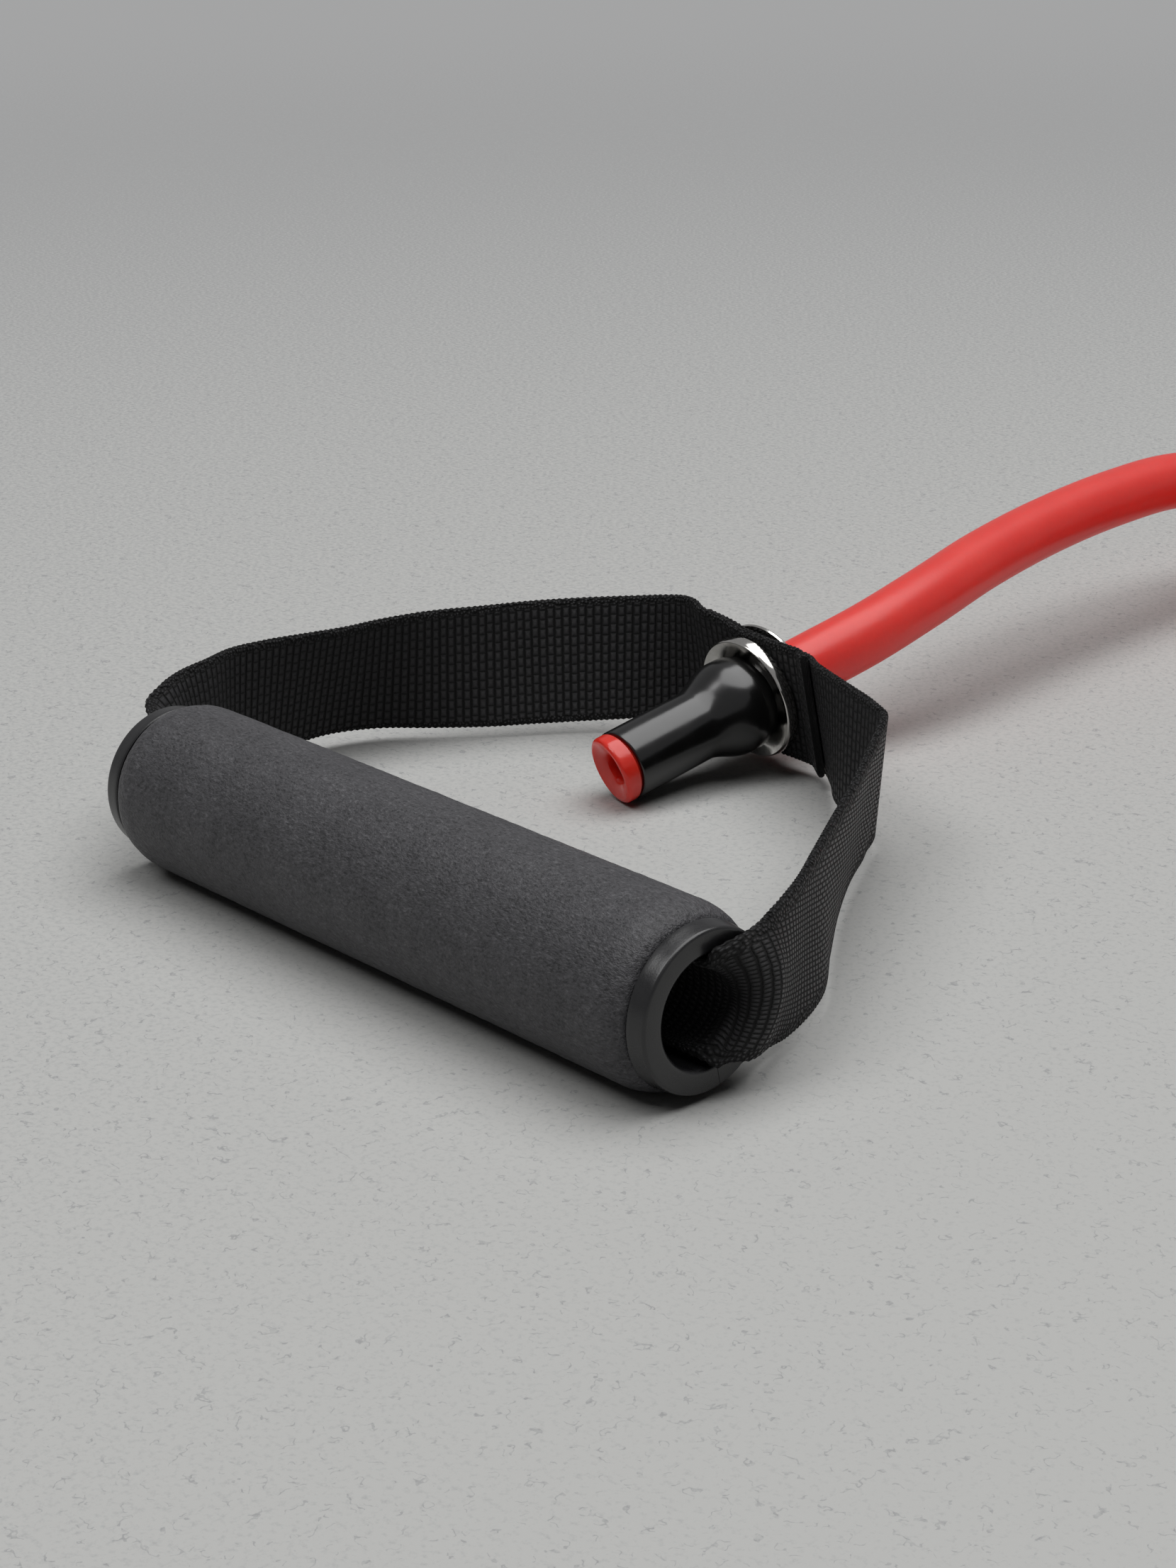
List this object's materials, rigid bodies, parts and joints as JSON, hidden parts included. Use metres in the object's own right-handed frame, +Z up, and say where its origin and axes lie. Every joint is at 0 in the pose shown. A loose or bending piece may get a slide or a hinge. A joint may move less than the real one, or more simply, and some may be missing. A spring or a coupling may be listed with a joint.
{
  "type": "resistance tube",
  "caption": "Rubber resistance tube with foam-covered webbing loop handles, laid down with its spare length coiled and tied.",
  "frame": {"origin": "on the floor under the middle of the grip of handle a", "axes": "+X along the grip of handle a, +Y from that grip through the eyelet towards the coil and handle b, +Z up"},
  "size_m": [0.1892, 0.6306, 0.0351],
  "materials": {
    "foam": "matte foam",
    "core": "satin",
    "cap": "satin",
    "webbing": "woven",
    "metal": "polished",
    "tube": "satin",
    "sleeve": "gloss",
    "ball": "gloss",
    "tie": "woven"
  },
  "bodies": {
    "tube": {"tube_end_a": "tube", "stopper_ball_a": "ball", "stopper_sleeve_a": "sleeve", "tube_run_a": "tube", "tube_coil": "tube", "coil_tie": "tie", "tube_run_b": "tube", "tube_end_b": "tube", "stopper_ball_b": "ball", "stopper_sleeve_b": "sleeve"},
    "eyelet_ring_a": {"eyelet_a": "metal", "eyelet_washer_a": "metal"},
    "loop_a": {"strap_a": "webbing"},
    "grip_a": {"foam_grip_a": "foam", "grip_core_a": "core", "end_cap_left_a": "cap", "end_cap_right_a": "cap"},
    "eyelet_ring_b": {"eyelet_b": "metal", "eyelet_washer_b": "metal"},
    "loop_b": {"strap_b": "webbing"},
    "grip_b": {"foam_grip_b": "foam", "grip_core_b": "core", "end_cap_left_b": "cap", "end_cap_right_b": "cap"}
  },
  "joints": [
    {"name": "eyelet_slide_a", "type": "slide", "parent": "tube", "child": "eyelet_ring_a", "axis": [0.0512, 0.9768, 0.2079], "range_m": [0, 0.02]},
    {"name": "handle_swivel_a", "type": "hinge", "parent": "eyelet_ring_a", "child": "loop_a", "pos_m": [-0.0319, 0.1121, 0.0146], "axis": [0.0512, 0.9768, 0.2079], "continuous": true},
    {"name": "grip_spin_a", "type": "hinge", "parent": "loop_a", "child": "grip_a", "pos_m": [0, 0, 0.0146], "axis": [1, 0, 0], "continuous": true},
    {"name": "eyelet_slide_b", "type": "slide", "parent": "tube", "child": "eyelet_ring_b", "axis": [-0.0512, -0.9768, 0.2079], "range_m": [0, 0.02]},
    {"name": "handle_swivel_b", "type": "hinge", "parent": "eyelet_ring_b", "child": "loop_b", "pos_m": [0.0193, 0.4885, 0.0146], "axis": [-0.0512, -0.9768, 0.2079], "continuous": true},
    {"name": "grip_spin_b", "type": "hinge", "parent": "loop_b", "child": "grip_b", "pos_m": [-0.0126, 0.6006, 0.0146], "axis": [1, 0, 0], "continuous": true}
  ]
}
